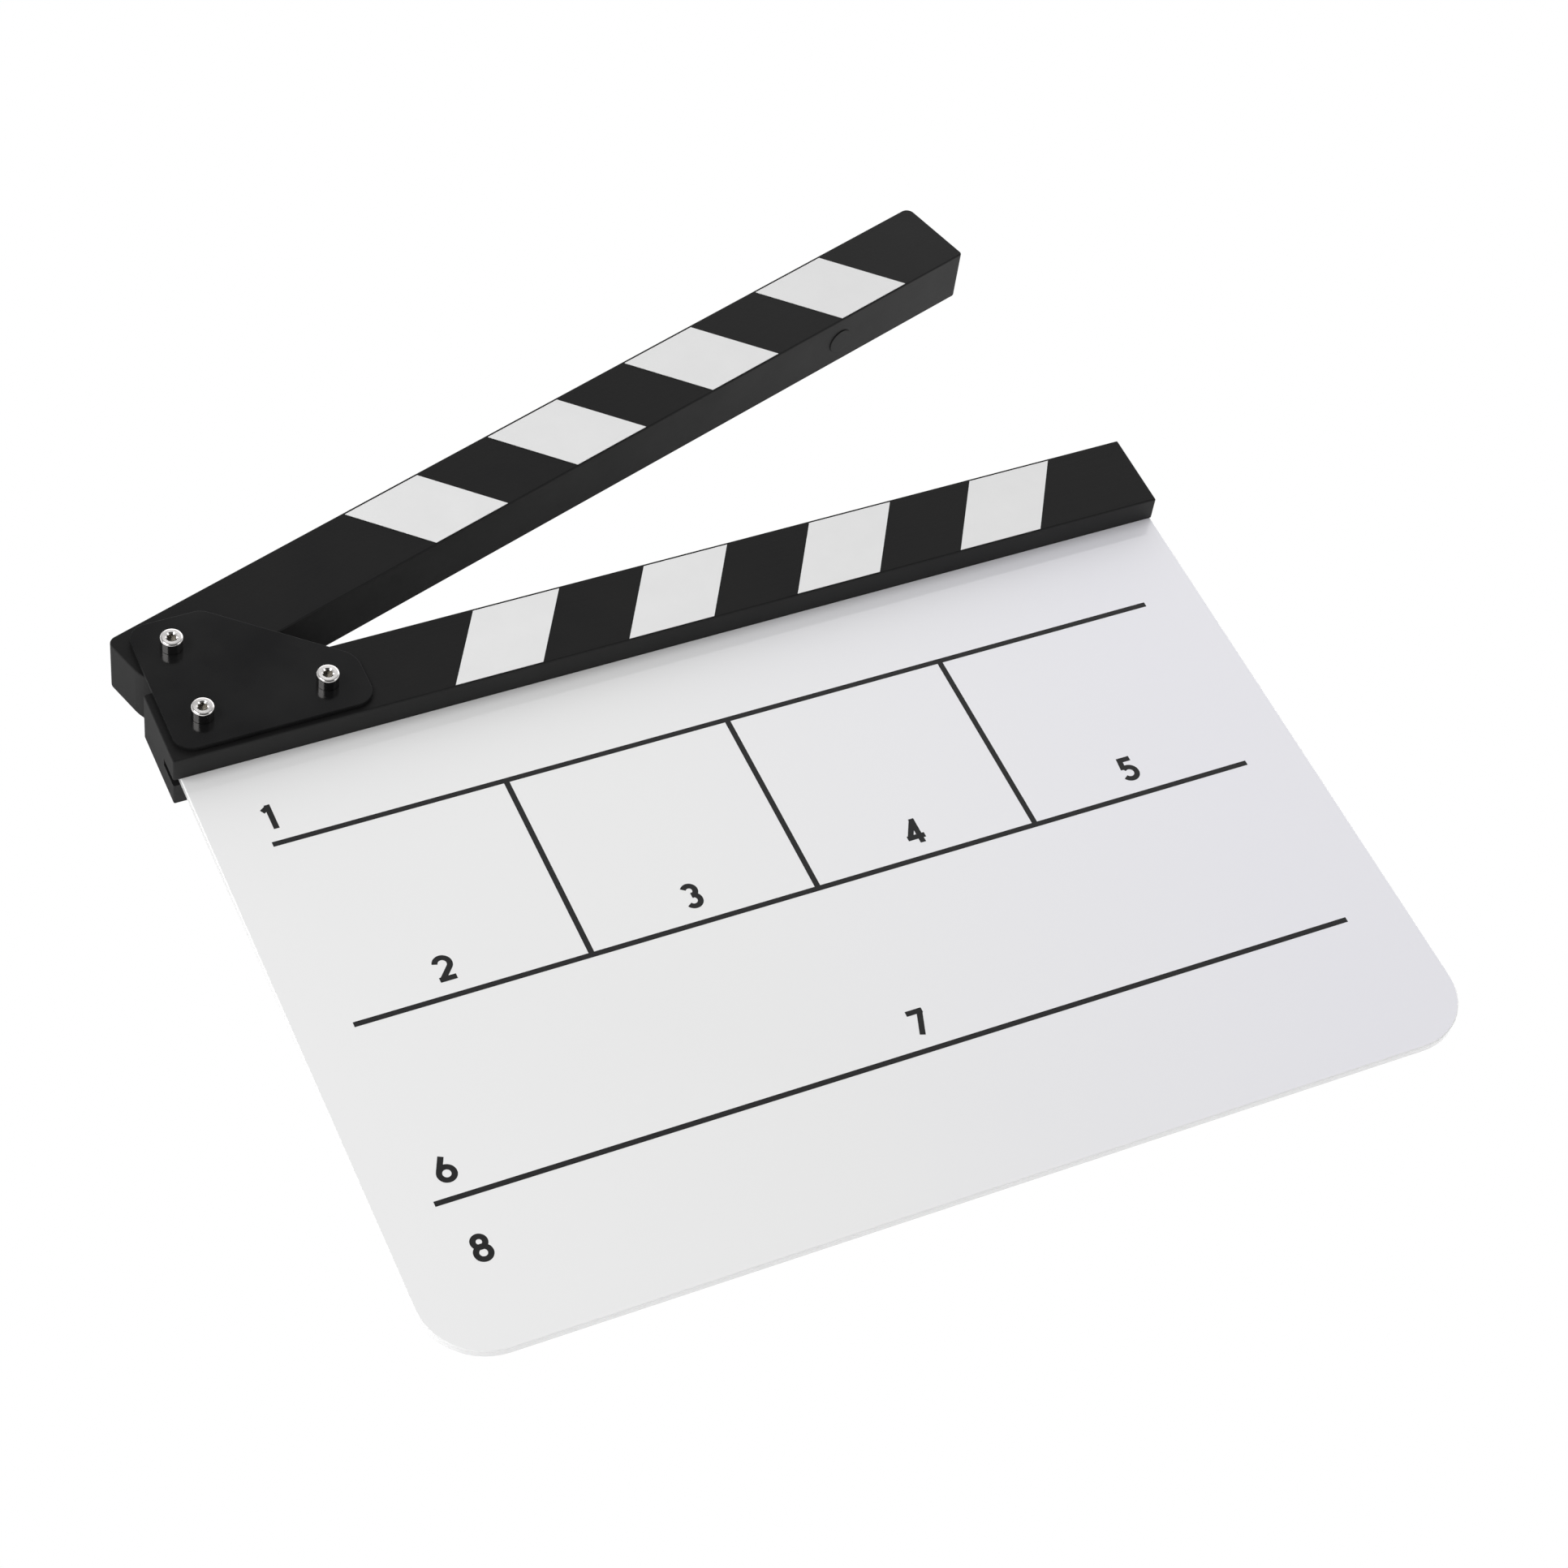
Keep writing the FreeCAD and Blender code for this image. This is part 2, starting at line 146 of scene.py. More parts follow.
# Coating of the hinge plates
PLATE_DARK = (0.002, 0.002, 0.0025)
PLATE_LIGHT = (0.009, 0.009, 0.009)
PLATE_SPECULAR = 0.16
PLATE_EDGE_ROUGHNESS = 0.75
PLATE_FACE_ROUGHNESS = 0.16
PLATE_FACINGS = (0.9, 0.995)
MOTTLE_SIZE = 24 * MM
COATING_SIZE = 0.35 * MM
COATING_DETAIL = 2.0
COATING_DEPTH = 0.001 * MM

# Metals: their tones, roughness and how close the lathe rings are
NICKEL = dict(light=(0.78, 0.76, 0.75), dark=(0.72, 0.70, 0.69), roughness=0.09, ring_scale=14.0)
ZINC = dict(light=(0.72, 0.73, 0.74), dark=(0.58, 0.59, 0.62), roughness=0.34, ring_scale=9.0)
BRASS = dict(light=(0.78, 0.60, 0.30), dark=(0.66, 0.48, 0.22), roughness=0.28, ring_scale=12.0)
# Shares of that roughness where the metal is stained dark and where it is light
DARK_ROUGHNESS_SHARE = 1.25
LIGHT_ROUGHNESS_SHARE = 0.85
STAIN_SIZE = 2.5 * MM
RING_DISTORTION = 1.5
RING_DEPTH = 0.004 * MM
# Painted shade in the screw sockets. The radius is a share of the width of the head, and the painted shade
# starts to fade at a share of that radius. The level of the lead-in's foot and the fade there are shares of
# the screw's length.
SOCKET_RADIUS_SHARE = 0.24
SOCKET_SHADE_FADE_SHARE = 0.94
SOCKET_LEVEL_SHARE = 0.986
LEVEL_FADE_SHARE = 0.002
SOCKET_SHADE_TONE = (0.28, 0.265, 0.24)
SOCKET_SHADE_ROUGHNESS = 0.36

# Nylon of the lock nut's ring
NYLON_DARK = (0.62, 0.66, 0.70)
NYLON_LIGHT = (0.72, 0.75, 0.77)
NYLON_ROUGHNESSES = (0.4, 0.5)
NYLON_CLOUD_SIZE = 1.2 * MM
NYLON_SEEP = 0.3
NYLON_SEEP_RADIUS = (0.6 * MM, 0.5 * MM, 0.4 * MM)

# White film of the stripes
VINYL_DARK = (0.775, 0.775, 0.775)
VINYL_LIGHT = (0.8, 0.8, 0.8)
VINYL_SPECULAR = 0.35
VINYL_ROUGHNESSES = (0.4, 0.5)
VINYL_CLOUD_SIZE = 12 * MM
PEBBLE_SIZE = 0.5 * MM
PEBBLE_DETAIL = 2.0
PEBBLE_DEPTH = 0.006 * MM

# Camera
CAMERA_PLACE = (-0.348999, -0.597673, 0.841245)
CAMERA_TURN = (math.radians(38.8252), math.radians(-6.1958), math.radians(-24.2694))
CAMERA_LENS = 89.22
CAMERA_SENSOR = 36.0

# Floor: it glows less under the object. The glow rises between two distances from its centre.
FLOOR_SIDE = 8.0
FLOOR_TONE = 0.9
GLOW_CENTRE = (-0.06, 0.05, 0)
GLOW_START = 0.06
GLOW_END = 0.2
GLOW_UNDER = 0.05
GLOW_AROUND = 0.6

# Sky: from the horizon's tone to the zenith's between two rises, with a bright patch behind the sticks and a
# dim one on the reader's side. A patch starts and is full at two cosines of the angle from its direction.
HORIZON_TONE = 0.77
HORIZON_RISE = 0.25
ZENITH_TONE = 0.38
ZENITH_RISE = 0.85
BACK_TONE = 1.9
BACK_SIDE = (0.55, 0.75, 0.25)
BACK_START = 0.77
BACK_END = 0.88
DIM_TONE = 0.1
DIM_SIDE = (0.05, -0.75, 0.66)
DIM_START = 0.55
DIM_END = 0.92

# Soft boxes
KEY_PLACE = (-1.114, 0.05, 1.399)
KEY_LENGTH = 1.17
KEY_HEIGHT = 0.48
KEY_POWER = 16.2
FILL_PLACE = (1.553, -1.213, 1.54)
FILL_LENGTH = 1.1
FILL_HEIGHT = 1.1
FILL_POWER = 5.0


def new_material(name):
    """A material with its node tree and its shader."""
    made = bpy.data.materials.new(name)
    made.use_nodes = True
    tree = made.node_tree
    return made, tree, tree.nodes["Principled BSDF"]


def cells(tree, size, turn=0.0):
    """Coordinates on the piece counted in cells of that size in metres, along axes turned about Z."""
    coords = tree.nodes.new("ShaderNodeTexCoord")
    mapping = tree.nodes.new("ShaderNodeMapping")
    mapping.vector_type = "TEXTURE"
    mapping.inputs["Rotation"].default_value = (0, 0, turn)
    mapping.inputs["Scale"].default_value = size
    tree.links.new(coords.outputs["Object"], mapping.inputs["Vector"])
    return mapping.outputs["Vector"]


def place_along(tree, turn=0.0):
    """The place along the X axis in metres, with the axes turned about Z."""
    place = tree.nodes.new("ShaderNodeSeparateXYZ")
    tree.links.new(cells(tree, (1, 1, 1), turn), place.inputs[0])
    return place.outputs["X"]


def noise(tree, size, turn=0.0, detail=3.0):
    """Noise between 0 and 1 whose features have that size in metres."""
    if isinstance(size, float):
        size = (size, size, size)
    texture = tree.nodes.new("ShaderNodeTexNoise")
    texture.inputs["Scale"].default_value = 1.0
    texture.inputs["Detail"].default_value = detail
    texture.inputs["Roughness"].default_value = NOISE_ROUGHNESS
    tree.links.new(cells(tree, size, turn), texture.inputs["Vector"])
    return texture.outputs["Fac"]


def feed(tree, value, socket):
    """Links a shader value to the socket, or sets the socket to a number or a colour."""
    if isinstance(value, bpy.types.NodeSocket):
        tree.links.new(value, socket)
    else:
        socket.default_value = (*value, 1) if isinstance(value, tuple) else value


def spread(tree, value, low, high, start=NOISE_LOW, end=NOISE_HIGH):
    """From low to high as the value runs from start to end. Low and high are numbers or shader values."""
    node = tree.nodes.new("ShaderNodeMapRange")
    node.inputs["From Min"].default_value = start
    node.inputs["From Max"].default_value = end
    feed(tree, low, node.inputs["To Min"])
    feed(tree, high, node.inputs["To Max"])
    tree.links.new(value, node.inputs["Value"])
    return node.outputs["Result"]


def blend_colour(tree, factor, first, second):
    """The first colour where the factor is 0, the second where it is 1."""
    node = tree.nodes.new("ShaderNodeMix")
    node.data_type = "RGBA"
    feed(tree, first, node.inputs["A"])
    feed(tree, second, node.inputs["B"])
    tree.links.new(factor, node.inputs["Factor"])
    return node.outputs["Result"]


def clouded(tree, cloud, dark, light):
    """Two tones mixed by a noise."""
    return blend_colour(tree, spread(tree, cloud, 0, 1), dark, light)


def bump(tree, height, distance, under=None):
    """A bump of that depth in metres, on top of another one if given."""
    node = tree.nodes.new("ShaderNodeBump")
    node.inputs["Distance"].default_value = distance
    tree.links.new(height, node.inputs["Height"])
    if under is not None:
        tree.links.new(under, node.inputs["Normal"])
    return node.outputs["Normal"]


def facing(tree, way):
    """How squarely the surface faces that way or the opposite one, on the piece's own axes: from 0 to 1."""
    coords = tree.nodes.new("ShaderNodeTexCoord")
    dot = tree.nodes.new("ShaderNodeVectorMath")
    dot.operation = "DOT_PRODUCT"
    dot.inputs[1].default_value = way
    tree.links.new(coords.outputs["Normal"], dot.inputs[0])
    size = tree.nodes.new("ShaderNodeMath")
    size.operation = "ABSOLUTE"
    tree.links.new(dot.outputs["Value"], size.inputs[0])
    return size.outputs["Value"]


def painted_wood(name, turn, free_end, end_light_strength):
    """Matt black paint on wood: clouded tone, paint stipple, a trace of the grain along the stick, dull end
    grain, a painted sheen that makes the sides greyer, and painted light that makes the free end greyer."""
    made, tree, shader = new_material(name)
    cloud = noise(tree, PAINT_CLOUD_SIZE, turn)
    stipple = noise(tree, STIPPLE_SIZE, turn)
    grain = noise(tree, GRAIN_SIZE, turn, GRAIN_DETAIL)
    # Painted sheen: faces that don't face up are made greyer
    side = spread(tree, facing(tree, UP), 1, 0, *PAINTED_SIDE_SHEEN_FACINGS)
    # Painted light: the paint turns greyer towards the free end, standing in for the extra light that falls
    # there
    painted_end_light = spread(tree, place_along(tree, turn), 0, end_light_strength, free_end - PAINTED_END_LIGHT_LENGTH, free_end)
    paint = clouded(tree, cloud, PAINT_DARK, PAINT_LIGHT)
    paint = blend_colour(tree, side, paint, PAINTED_SIDE_SHEEN_TONE)
    paint = blend_colour(tree, painted_end_light, paint, PAINTED_END_LIGHT_TONE)
    tree.links.new(paint, shader.inputs["Base Color"])
    shader.inputs["Specular IOR Level"].default_value = PAINT_SPECULAR
    end_grain = facing(tree, (math.cos(turn), math.sin(turn), 0))
    dullness = spread(tree, cloud, *PAINT_ROUGHNESSES)
    dullness = spread(tree, end_grain, dullness, END_GRAIN_ROUGHNESS, *END_GRAIN_FACINGS)
    tree.links.new(dullness, shader.inputs["Roughness"])
    relief = bump(tree, grain, GRAIN_DEPTH)
    tree.links.new(bump(tree, stipple, STIPPLE_DEPTH, relief), shader.inputs["Normal"])
    return made


def opal_acrylic():
    """Glossy white sheet with faint wipe marks in its polish, and a painted shade that makes it a little
    cooler towards its free end. Its bevels get a painted glow that makes them paler, as if light seeped
    through, and its cut edges a painted shade that makes them greyer."""
    made, tree, shader = new_material("opal_acrylic")
    wipe = noise(tree, WIPE_SIZE, WIPE_TURN)
    wave = noise(tree, WAVE_SIZE, detail=WAVE_DETAIL)
    length = board_high.x - board_low.x
    start, end = [board_low.x + share * length for share in PAINTED_SHADE_SHARES]
    # Painted shade: cooler and a little darker towards the free end
    painted_cool_shade = spread(tree, place_along(tree), 0, 1, start, end)
    upright = facing(tree, UP)
    tone = blend_colour(tree, painted_cool_shade, BOARD_TONE, PAINTED_SHADE_COOL_TONE)
    # Painted glow: the bevels are made paler
    tone = blend_colour(tree, spread(tree, upright, 1, 0, *PAINTED_GLOW_BEVEL_FACINGS), tone, PAINTED_GLOW_BEVEL_TONE)
    # Painted shade: the cut edges are made greyer
    tone = blend_colour(tree, spread(tree, upright, 1, 0, *PAINTED_SHADE_EDGE_FACINGS), tone, PAINTED_SHADE_EDGE_TONE)
    tree.links.new(tone, shader.inputs["Base Color"])
    shader.inputs["IOR"].default_value = BOARD_IOR
    tree.links.new(spread(tree, wipe, *BOARD_ROUGHNESSES), shader.inputs["Roughness"])
    tree.links.new(bump(tree, wave, WAVE_DEPTH), shader.inputs["Normal"])
    return made


def printed_ink():
    """Black ink of slightly uneven density."""
    made, tree, shader = new_material("printed_ink")
    density = noise(tree, INK_CLOUD_SIZE)
    tree.links.new(clouded(tree, density, INK_DARK, INK_LIGHT), shader.inputs["Base Color"])
    shader.inputs["Specular IOR Level"].default_value = INK_SPECULAR
    tree.links.new(spread(tree, density, *INK_ROUGHNESSES), shader.inputs["Roughness"])
    return made


def satin_plate():
    """Black coating with a soft mottle, smooth on the faces and dull on the cut edges."""
    made, tree, shader = new_material("satin_plate")
    mottle = noise(tree, MOTTLE_SIZE)
    texture = noise(tree, COATING_SIZE, detail=COATING_DETAIL)
    tree.links.new(clouded(tree, mottle, PLATE_DARK, PLATE_LIGHT), shader.inputs["Base Color"])
    shader.inputs["Specular IOR Level"].default_value = PLATE_SPECULAR
    dullness = spread(tree, facing(tree, UP), PLATE_EDGE_ROUGHNESS, PLATE_FACE_ROUGHNESS, *PLATE_FACINGS)
    tree.links.new(dullness, shader.inputs["Roughness"])
    tree.links.new(bump(tree, texture, COATING_DEPTH), shader.inputs["Normal"])
    return made


def turned_metal(name, light, dark, roughness, ring_scale, socketed=False):
    """Bright metal with the fine rings of a lathe about each piece's own axis along Z. A socket is darkened
    with painted shade.
    """
    made, tree, shader = new_material(name)
    # Generated coordinates run from 0 to 1 over the piece's box, so the axis is at one half
    coords = tree.nodes.new("ShaderNodeTexCoord")
    centred = tree.nodes.new("ShaderNodeVectorMath")
    centred.operation = "MULTIPLY_ADD"
    centred.inputs[1].default_value = (1, 1, 0)
    centred.inputs[2].default_value = (-0.5, -0.5, 0)
    tree.links.new(coords.outputs["Generated"], centred.inputs[0])
    rings = tree.nodes.new("ShaderNodeTexWave")
    rings.wave_type = "RINGS"
    rings.rings_direction = "SPHERICAL"
    rings.inputs["Scale"].default_value = ring_scale
    rings.inputs["Distortion"].default_value = RING_DISTORTION
    tree.links.new(centred.outputs["Vector"], rings.inputs["Vector"])
    stain = noise(tree, STAIN_SIZE)
    tone = clouded(tree, stain, dark, light)
    dullness = spread(tree, stain, roughness * DARK_ROUGHNESS_SHARE, roughness * LIGHT_ROUGHNESS_SHARE)
    if socketed:
        away = tree.nodes.new("ShaderNodeVectorMath")
        away.operation = "LENGTH"
        tree.links.new(centred.outputs["Vector"], away.inputs[0])
        place = tree.nodes.new("ShaderNodeSeparateXYZ")
        tree.links.new(coords.outputs["Generated"], place.inputs[0])
        fade_level = SOCKET_LEVEL_SHARE - LEVEL_FADE_SHARE
        under = spread(tree, place.outputs["Z"], 1, 0, fade_level, SOCKET_LEVEL_SHARE)
        fade_radius = SOCKET_RADIUS_SHARE * SOCKET_SHADE_FADE_SHARE
        # Painted shade: the socket is darkened
        socket_shade = spread(tree, away.outputs["Value"], under, 0, fade_radius, SOCKET_RADIUS_SHARE)
        tone = blend_colour(tree, socket_shade, tone, SOCKET_SHADE_TONE)
        dullness = spread(tree, socket_shade, dullness, SOCKET_SHADE_ROUGHNESS, 0, 1)
    tree.links.new(tone, shader.inputs["Base Color"])
    shader.inputs["Metallic"].default_value = 1.0
    tree.links.new(dullness, shader.inputs["Roughness"])
    tree.links.new(bump(tree, rings.outputs["Fac"], RING_DEPTH), shader.inputs["Normal"])
    return made


def nylon_ring():
    """Milky nylon that light seeps into."""
    made, tree, shader = new_material("nylon_ring")
    cloud = noise(tree, NYLON_CLOUD_SIZE)
    tree.links.new(clouded(tree, cloud, NYLON_DARK, NYLON_LIGHT), shader.inputs["Base Color"])
    shader.inputs["Subsurface Weight"].default_value = NYLON_SEEP
    shader.inputs["Subsurface Radius"].default_value = NYLON_SEEP_RADIUS
    shader.inputs["Subsurface Scale"].default_value = 1.0
    tree.links.new(spread(tree, cloud, *NYLON_ROUGHNESSES), shader.inputs["Roughness"])
    return made


def white_vinyl(name, turn):
    """Semi-matt white film, faintly pebbled."""
    made, tree, shader = new_material(name)
    cloud = noise(tree, VINYL_CLOUD_SIZE, turn)
    pebble = noise(tree, PEBBLE_SIZE, turn, PEBBLE_DETAIL)
    tree.links.new(clouded(tree, cloud, VINYL_DARK, VINYL_LIGHT), shader.inputs["Base Color"])
    shader.inputs["Specular IOR Level"].default_value = VINYL_SPECULAR
    tree.links.new(spread(tree, cloud, *VINYL_ROUGHNESSES), shader.inputs["Roughness"])
    tree.links.new(bump(tree, pebble, PEBBLE_DEPTH), shader.inputs["Normal"])
    return made


def white_sweep():
    """The sweep that the object lies on, which lights it from below, less so under the object."""
    made, tree, shader = new_material("white_sweep")
    shader.inputs["Base Color"].default_value = (FLOOR_TONE, FLOOR_TONE, FLOOR_TONE, 1)
    shader.inputs["Specular IOR Level"].default_value = 0.0
    shader.inputs["Roughness"].default_value = 1.0
    shader.inputs["Emission Color"].default_value = WHITE
    coords = tree.nodes.new("ShaderNodeTexCoord")
    away = tree.nodes.new("ShaderNodeVectorMath")
    away.operation = "DISTANCE"
    away.inputs[1].default_value = GLOW_CENTRE
    tree.links.new(coords.outputs["Object"], away.inputs[0])
    glow = spread(tree, away.outputs["Value"], GLOW_UNDER, GLOW_AROUND, GLOW_START, GLOW_END)
    tree.links.new(glow, shader.inputs["Emission Strength"])
    return made


def white_backdrop():
    """The same sweep as the picture shows it: lit to plain white."""
    made, tree, shader = new_material("white_backdrop")
    shader.inputs["Base Color"].default_value = BLACK
    shader.inputs["Specular IOR Level"].default_value = 0.0
    shader.inputs["Emission Color"].default_value = WHITE
    shader.inputs["Emission Strength"].default_value = 1.0
    return made


def dress(node_names, finish):
    """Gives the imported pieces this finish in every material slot."""
    for name in node_names:
        piece = nodes[name]
        if not piece.material_slots:
            piece.data.materials.append(finish)
        for slot in piece.material_slots:
            slot.material = finish


def named(*starts):
    """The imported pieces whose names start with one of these."""
    return [name for name in nodes if name.startswith(starts)]


def clapper_free_end():
    """How far the clapper's free end is from the origin, along the clapper."""
    along = Vector((math.cos(open_angle), math.sin(open_angle), 0))
    return max(along.dot(v.co) for v in nodes["upper_stick"].data.vertices)


def dress_all():
    """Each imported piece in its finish. Patterns on the clapper's pieces run along the clapper."""
    stick_paint = painted_wood("stick_paint", 0.0, stick_high.x, STICK_PAINTED_END_LIGHT)
    clapper_paint = painted_wood("clapper_paint", open_angle, clapper_free_end(), CLAPPER_PAINTED_END_LIGHT)
    dress(["lower_stick", "lower_magnet"], stick_paint)
    dress(["upper_stick", "upper_magnet"], clapper_paint)
    dress(["writing_board"], opal_acrylic())
    dress(["front_hinge_plate", "rear_hinge_plate"], satin_plate())
    dress(named("pivot_screw", "fixing_screw"), turned_metal("bright_nickel", **NICKEL, socketed=True))
    dress(named("fixing_washer", "fixing_nut") + ["pivot_locknut"], turned_metal("zinc_plate", **ZINC))
    dress(["pivot_locknut_ring"], nylon_ring())
    dress(["pivot_bush"], turned_metal("turned_brass", **BRASS))
    dress(named("lower_stripe"), white_vinyl("stick_vinyl", 0.0))
    dress(named("upper_stripe"), white_vinyl("clapper_vinyl", open_angle))


def print_matrix():
    """From the layout of the print to the frame: it lies on the board, tilted a little about its middle."""
    middle = Vector(((RULE_START + RULE_END) / 2, RULE_RISES[1], 0))
    corner = Vector((stick_low.x, board_low.y, board_high.z))
    tilt = Matrix.Translation(middle) @ Matrix.Rotation(PRINT_TILT, 4, "Z") @ Matrix.Translation(-middle)
    return Matrix.Translation(corner) @ tilt


def add_mesh(name, mesh, finish):
    """A piece of that name in the scene."""
    mesh.name = name
    piece = bpy.data.objects.new(name, mesh)
    bpy.context.scene.collection.objects.link(piece)
    mesh.materials.append(finish)
    return piece


def add_bar(bm, left, right, low, high):
    """A flat bar of ink."""
    made = bmesh.ops.create_cube(bm, size=1.0)["verts"]
    scale = Matrix.Diagonal((right - left, high - low, INK_THICKNESS, 1))
    middle = Matrix.Translation(((left + right) / 2, (low + high) / 2, INK_THICKNESS / 2))
    bmesh.ops.transform(bm, matrix=middle @ scale, verts=made)


def board_rules(finish):
    """Three rules across the board, and dividers between the upper two."""
    bm = bmesh.new()
    half = RULE_WIDTH / 2
    for rise in RULE_RISES:
        add_bar(bm, RULE_START, RULE_END, rise - half, rise + half)
    for place in DIVIDER_PLACES:
        add_bar(bm, place - half, place + half, RULE_RISES[1] + half, RULE_RISES[0] - half)
    mesh = bpy.data.meshes.new("board_rules")
    bm.to_mesh(mesh)
    bm.free()
    mesh.transform(print_matrix())
    return add_mesh("board_rules", mesh, finish)


def arc(middle, radius, start, end):
    """Points along part of a circle, angles in degrees."""
    start, end = math.radians(start), math.radians(end)
    count = round(abs(end - start) / ARC_STEP)
    angles = [start + (end - start) * i / count for i in range(count + 1)]
    return [(middle[0] + radius * math.cos(a), middle[1] + radius * math.sin(a)) for a in angles]


def ring(middle, radius):
    """A closed circle: its last point is its first."""
    return arc(middle, radius, 0, 360)


def digit_strokes():
    """The middle lines of plain bold digits, in shares of their height."""
    top, foot = 1 - STROKE_SHARE / 2, STROKE_SHARE / 2
    return {
        "1": [[(0.27, 0), (0.27, 1)], [(0.27, top), (0.05, top - 0.14)]],
        "2": [arc((0.31, top - 0.24), 0.24, 168, -40) + [(0.12, foot)], [(0.02, foot), (0.58, foot)]],
        "3": [arc((0.28, top - 0.2), 0.2, 150, -90), arc((0.28, foot + 0.22), 0.22, 90, -150)],
        "4": [[(0.44, 0), (0.44, 1)], [(0, 0.27), (0.62, 0.27)], [(0.1, 0.27), (0.44, 0.92)]],
        "5": [
            [(0.08, top), (0.54, top)],
            [(0.17, top), (0.13, 0.51)],
            arc((0.28, foot + 0.24), 0.24, 130, -150),
        ],
        "6": [ring((0.31, foot + 0.235), 0.235), [(0.097, foot + 0.334), (0.34, 0.95)]],
        "7": [[(0.02, top), (0.58, top)], [(0.49, top), (0.2, 0.03)]],
        "8": [ring((0.31, top - 0.19), 0.19), ring((0.31, foot + 0.225), 0.225)],
    }


def stroke_mesh(points, width):
    """A flat stroke of ink along the points."""
    points = [Vector(point) for point in points]
    closed = (points[0] - points[-1]).length < width * CLOSED_SHARE
    if closed:
        points.pop()
    bm = bmesh.new()
    rows = []
    for i, point in enumerate(points):
        before = points[i - 1] if i or closed else point
        after = points[(i + 1) % len(points)] if closed or i + 1 < len(points) else point
        along = (after - before).normalized()
        aside = Vector((-along.y, along.x)) * width / 2
        corners = [(aside, 0), (aside, INK_THICKNESS), (-aside, INK_THICKNESS), (-aside, 0)]
        rows.append([bm.verts.new((*(point + step), rise)) for step, rise in corners])
    pairs = list(zip(rows, rows[1:]))
    if closed:
        pairs.append((rows[-1], rows[0]))
    else:
        bm.faces.new(rows[0])
        bm.faces.new(rows[-1])
    for first, second in pairs:
        for k in range(len(first)):
            beside = (k + 1) % len(first)
            bm.faces.new((first[k], second[k], second[beside], first[beside]))
    bmesh.ops.recalc_face_normals(bm, faces=bm.faces)
    mesh = bpy.data.meshes.new("stroke")
    bm.to_mesh(mesh)
    bm.free()
    return mesh


def joined(meshes):
    """Solids that overlap made into one solid."""
    pieces = [bpy.data.objects.new("stroke", mesh) for mesh in meshes]
    body = pieces[0]
    for piece in pieces:
        bpy.context.scene.collection.objects.link(piece)
    for other in pieces[1:]:
        union = body.modifiers.new("union", "BOOLEAN")
        union.operation = "UNION"
        union.object = other
    whole = bpy.data.meshes.new_from_object(body.evaluated_get(bpy.context.evaluated_depsgraph_get()))
    # Removing a mesh removes the object that shows it
    for mesh in meshes:
        bpy.data.meshes.remove(mesh)
    return whole


def digit_mesh(digit):
    """One bold digit as a flat solid, its lower left corner at the origin."""
    strokes = []
    for shares in digit_strokes()[digit]:
        points = [(x * DIGIT_HEIGHT, y * DIGIT_HEIGHT) for x, y in shares]
        strokes.append(stroke_mesh(points, STROKE_SHARE * DIGIT_HEIGHT))
    return joined(strokes)


def field_numbers(finish):
    """A digit in each field of the board."""
    pieces = []
    for digit, place, rise in FIELDS:
        mesh = digit_mesh(digit)
        mesh.transform(print_matrix() @ Matrix.Translation((place, rise, 0)))
        pieces.append(add_mesh(f"field_number_{digit}", mesh, finish))
    return pieces


def add_print():
    """The ink on the board, which goes where the board goes."""
    ink = printed_ink()
    for piece in [board_rules(ink)] + field_numbers(ink):
        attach(piece, "root")


def add_plane(name, finish):
    """A square of the studio's floor."""
    bpy.ops.mesh.primitive_plane_add(size=FLOOR_SIDE)
    plane = bpy.context.object
    plane.name = name
    plane.data.materials.append(finish)
    return plane


def add_floor():
    """One plane lights the object and takes its shadow, the other is the clean white that the camera sees."""
    sweep = add_plane("white_sweep", white_sweep())
    sweep.visible_camera = False
    backdrop = add_plane("white_backdrop", white_backdrop())
    backdrop.visible_diffuse = False
    backdrop.visible_glossy = False
    backdrop.visible_transmission = False
    backdrop.visible_shadow = False


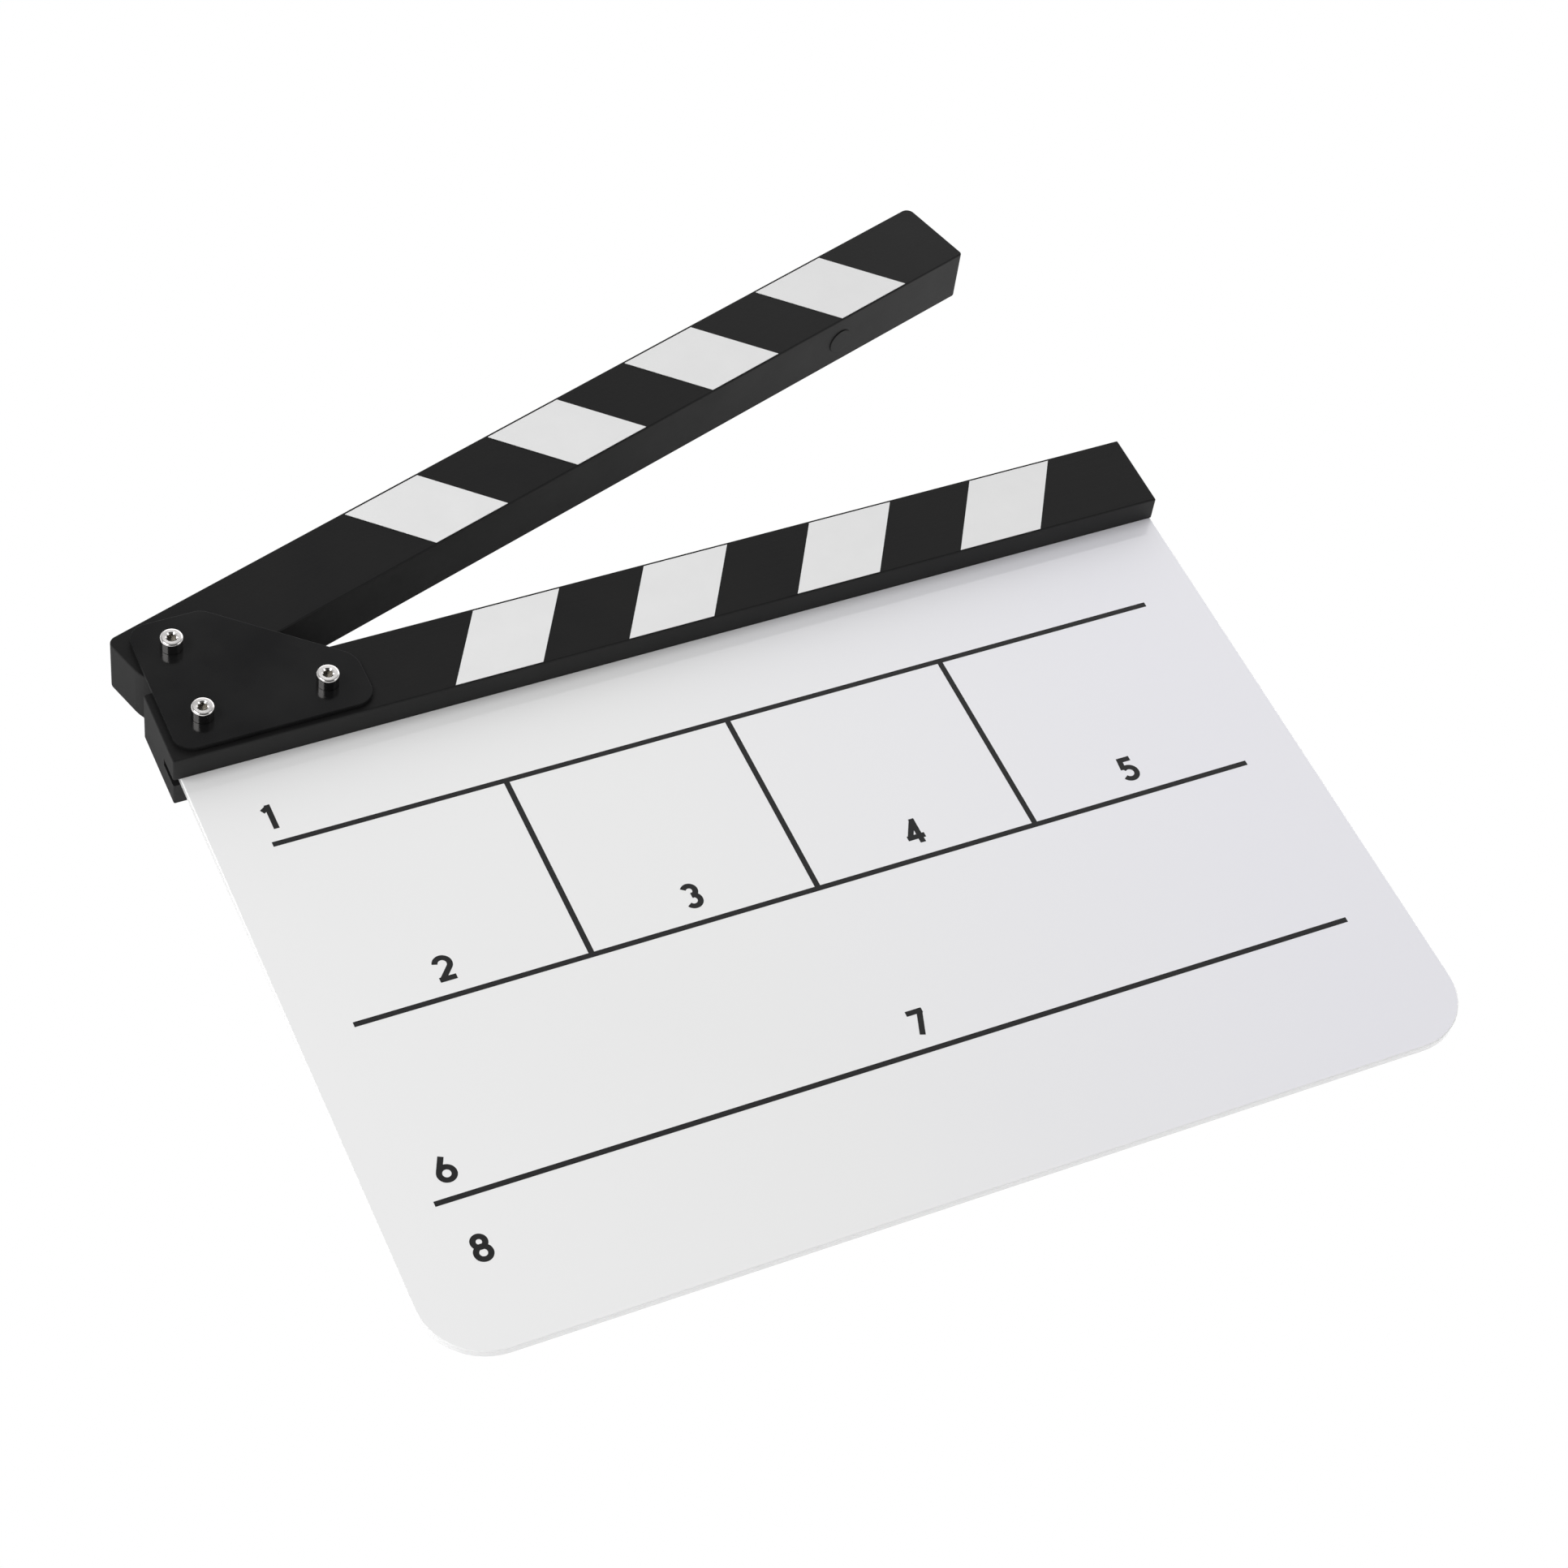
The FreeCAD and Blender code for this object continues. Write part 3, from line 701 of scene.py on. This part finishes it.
def add_sky():
    """A dome of soft light, lighter towards the horizon, dim on the side that the writing face is read from,
    and bright behind the sticks, where the board mirrors it."""
    world = bpy.data.worlds.new("studio")
    world.use_nodes = True
    tree = world.node_tree
    coords = tree.nodes.new("ShaderNodeTexCoord")
    way = tree.nodes.new("ShaderNodeSeparateXYZ")
    tree.links.new(coords.outputs["Generated"], way.inputs[0])
    sky = spread(tree, way.outputs["Z"], HORIZON_TONE, ZENITH_TONE, HORIZON_RISE, ZENITH_RISE)
    patches = [
        (BACK_SIDE, BACK_TONE, BACK_START, BACK_END),
        (DIM_SIDE, DIM_TONE, DIM_START, DIM_END),
    ]
    for side, tone, start, end in patches:
        nearness = tree.nodes.new("ShaderNodeVectorMath")
        nearness.operation = "DOT_PRODUCT"
        nearness.inputs[1].default_value = Vector(side).normalized()
        tree.links.new(coords.outputs["Generated"], nearness.inputs[0])
        sky = spread(tree, nearness.outputs["Value"], sky, tone, start, end)
    background = tree.nodes["Background"]
    tree.links.new(sky, background.inputs["Strength"])
    background.inputs["Color"].default_value = WHITE
    bpy.context.scene.world = world


def add_soft_box(name, place, length, height, power):
    """A rectangle of light turned to the origin."""
    lamp = bpy.data.lights.new(name, "AREA")
    lamp.shape = "RECTANGLE"
    lamp.size = length
    lamp.size_y = height
    lamp.energy = power
    light = bpy.data.objects.new(name, lamp)
    light.location = place
    light.rotation_euler = (-Vector(place)).to_track_quat("-Z", "Y").to_euler()
    bpy.context.scene.collection.objects.link(light)


def add_camera():
    """The camera of the photograph."""
    lens = bpy.data.cameras.new("camera")
    lens.lens = CAMERA_LENS
    lens.sensor_width = CAMERA_SENSOR
    camera = bpy.data.objects.new("camera", lens)
    camera.location = CAMERA_PLACE
    camera.rotation_euler = CAMERA_TURN
    bpy.context.scene.collection.objects.link(camera)
    bpy.context.scene.camera = camera


dress_all()
add_print()
add_floor()
add_sky()
add_soft_box("key_light", KEY_PLACE, KEY_LENGTH, KEY_HEIGHT, KEY_POWER)
add_soft_box("fill_light", FILL_PLACE, FILL_LENGTH, FILL_HEIGHT, FILL_POWER)
add_camera()
bpy.context.scene.view_settings.view_transform = "Standard"
